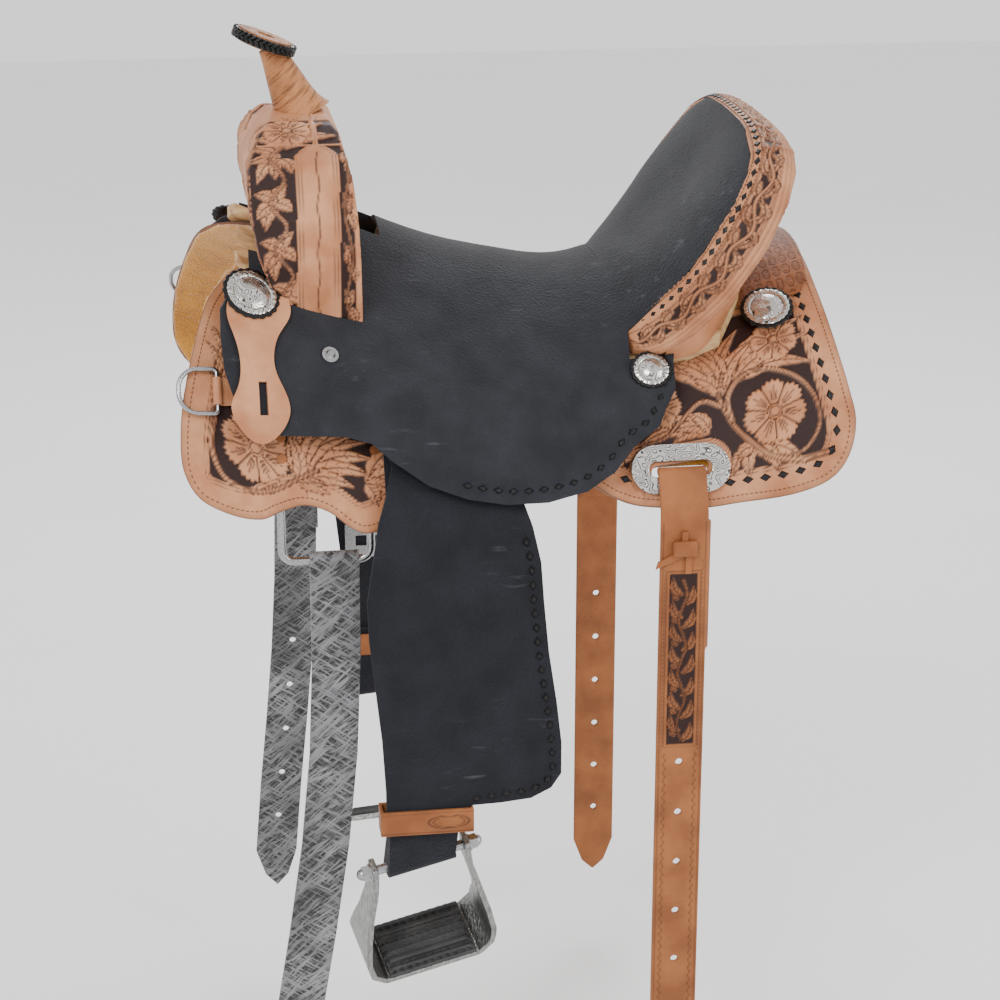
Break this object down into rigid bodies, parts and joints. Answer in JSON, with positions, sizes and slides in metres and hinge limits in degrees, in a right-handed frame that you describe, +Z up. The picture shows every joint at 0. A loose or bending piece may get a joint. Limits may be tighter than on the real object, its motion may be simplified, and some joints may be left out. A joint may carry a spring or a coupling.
{
  "type": "western saddle",
  "caption": "Barrel-racing western saddle with tooled skirts, rough-out seat, tall horn, swinging fenders and stirrups, rigging dees, latigo and rear billets.",
  "frame": {"origin": "on the underside of the saddle, in its middle plane, 20 mm below the lowest place of the spine channel, where the horse's back meets it", "axes": "+X from the horn towards the cantle, +Y to the off (right) side so that the near side is -Y, +Z up"},
  "size_m": [0.6509, 0.4968, 1.1191],
  "materials": {
    "tree_wood": "sealed",
    "steel": "satin",
    "tan_leather": "satin",
    "black_braid": "satin",
    "ochre_lining": "matte",
    "black_roughout": "matte",
    "foam": "matte",
    "strainer_leather": "matte",
    "silver": "polished",
    "brass": "satin",
    "grey_latigo": "satin",
    "aluminium": "brushed",
    "tread_rubber": "matte"
  },
  "bodies": {
    "saddle": {"tree_bar_left": "tree_wood", "tree_bar_right": "tree_wood", "tree_fork": "tree_wood", "tree_cantle": "tree_wood", "horn_post": "steel", "jockey_screws": "steel", "horn_wrap": "tan_leather", "horn_cap": "tan_leather", "fork_cover": "tan_leather", "cantle_roll": "tan_leather", "cantle_back": "tan_leather", "rear_housing": "tan_leather", "skirt_left": "tan_leather", "skirt_right": "tan_leather", "latigo_keeper_left": "tan_leather", "latigo_keeper_right": "tan_leather", "breast_tab_left": "tan_leather", "breast_tab_right": "tan_leather", "horn_cap_edge": "black_braid", "skirt_lining_left": "ochre_lining", "skirt_lining_right": "ochre_lining", "seat_cover": "black_roughout", "concho_rosettes": "black_roughout", "seat_foam": "foam", "ground_seat": "strainer_leather", "rigging_leather_left": "strainer_leather", "rigging_leather_right": "strainer_leather", "conchos": "silver", "rear_rigging_plate_left": "silver", "rear_rigging_plate_right": "silver", "rigging_rivets": "brass"},
    "front_dee_left_body": {"front_dee_left": "steel"},
    "breast_dee_left_body": {"breast_dee_left": "steel"},
    "rear_billet_left_body": {"rear_billet_left": "tan_leather", "billet_tie_left": "tan_leather"},
    "fender_left_body": {"fender_left": "black_roughout", "stirrup_leather_left": "black_roughout", "hobble_strap_left": "tan_leather", "leather_buckle_left": "steel"},
    "stirrup_left_body": {"stirrup_frame_left": "aluminium", "stirrup_tread_left": "tread_rubber", "stirrup_bolt_left": "steel", "stirrup_nuts_left": "steel"},
    "front_dee_right_body": {"front_dee_right": "steel"},
    "breast_dee_right_body": {"breast_dee_right": "steel"},
    "rear_billet_right_body": {"rear_billet_right": "tan_leather", "billet_tie_right": "tan_leather"},
    "fender_right_body": {"fender_right": "black_roughout", "stirrup_leather_right": "black_roughout", "hobble_strap_right": "tan_leather", "leather_buckle_right": "steel"},
    "stirrup_right_body": {"stirrup_frame_right": "aluminium", "stirrup_tread_right": "tread_rubber", "stirrup_bolt_right": "steel", "stirrup_nuts_right": "steel"},
    "latigo_body": {"latigo_left": "grey_latigo"},
    "off_billet_body": {"off_billet_right": "tan_leather"}
  },
  "joints": [
    {"name": "fender_swing_left", "type": "hinge", "parent": "saddle", "child": "fender_left_body", "pos_m": [-0.098, -0.1788, -0.03353], "axis": [0, -0.9397, 0.342], "range_deg": [-2, 11]},
    {"name": "fender_swing_right", "type": "hinge", "parent": "saddle", "child": "fender_right_body", "pos_m": [-0.098, 0.1788, -0.03353], "axis": [0, -0.9397, -0.342], "range_deg": [-2, 11]},
    {"name": "stirrup_swing_left", "type": "hinge", "parent": "fender_left_body", "child": "stirrup_left_body", "pos_m": [-0.104, -0.222, -0.506], "axis": [0.9713, 0.1713, 0.165], "range_deg": [-45, 45]},
    {"name": "stirrup_swing_right", "type": "hinge", "parent": "fender_right_body", "child": "stirrup_right_body", "pos_m": [-0.104, 0.222, -0.506], "axis": [-0.9713, 0.1713, -0.165], "range_deg": [-45, 45]},
    {"name": "breast_dee_swing_left", "type": "hinge", "parent": "saddle", "child": "breast_dee_left_body", "pos_m": [-0.286, -0.20742, -0.01949], "axis": [0, 0.4749, 0.8801], "range_deg": [-3, 80]},
    {"name": "breast_dee_swing_right", "type": "hinge", "parent": "saddle", "child": "breast_dee_right_body", "pos_m": [-0.286, 0.20742, -0.01949], "axis": [0, 0.4749, -0.8801], "range_deg": [-3, 80]},
    {"name": "front_dee_swing_left", "type": "hinge", "parent": "saddle", "child": "front_dee_left_body", "pos_m": [-0.188, -0.2058, -0.112], "axis": [-1, 0, 0], "range_deg": [-12, 20]},
    {"name": "front_dee_swing_right", "type": "hinge", "parent": "saddle", "child": "front_dee_right_body", "pos_m": [-0.188, 0.2058, -0.112], "axis": [-1, 0, 0], "range_deg": [-20, 12]},
    {"name": "rear_billet_swing_left", "type": "hinge", "parent": "saddle", "child": "rear_billet_left_body", "pos_m": [0.15379, -0.21534, -0.11473], "axis": [-1, 0, 0], "range_deg": [0, 50]},
    {"name": "rear_billet_swing_right", "type": "hinge", "parent": "saddle", "child": "rear_billet_right_body", "pos_m": [0.15379, 0.21534, -0.11473], "axis": [1, 0, 0], "range_deg": [0, 50]},
    {"name": "latigo_swing", "type": "hinge", "parent": "front_dee_left_body", "child": "latigo_body", "pos_m": [-0.188, -0.2058, -0.192], "axis": [-1, 0, 0], "range_deg": [-22, 40]},
    {"name": "off_billet_swing", "type": "hinge", "parent": "front_dee_right_body", "child": "off_billet_body", "pos_m": [-0.188, 0.2058, -0.192], "axis": [-1, 0, 0], "range_deg": [-40, 22]}
  ]
}
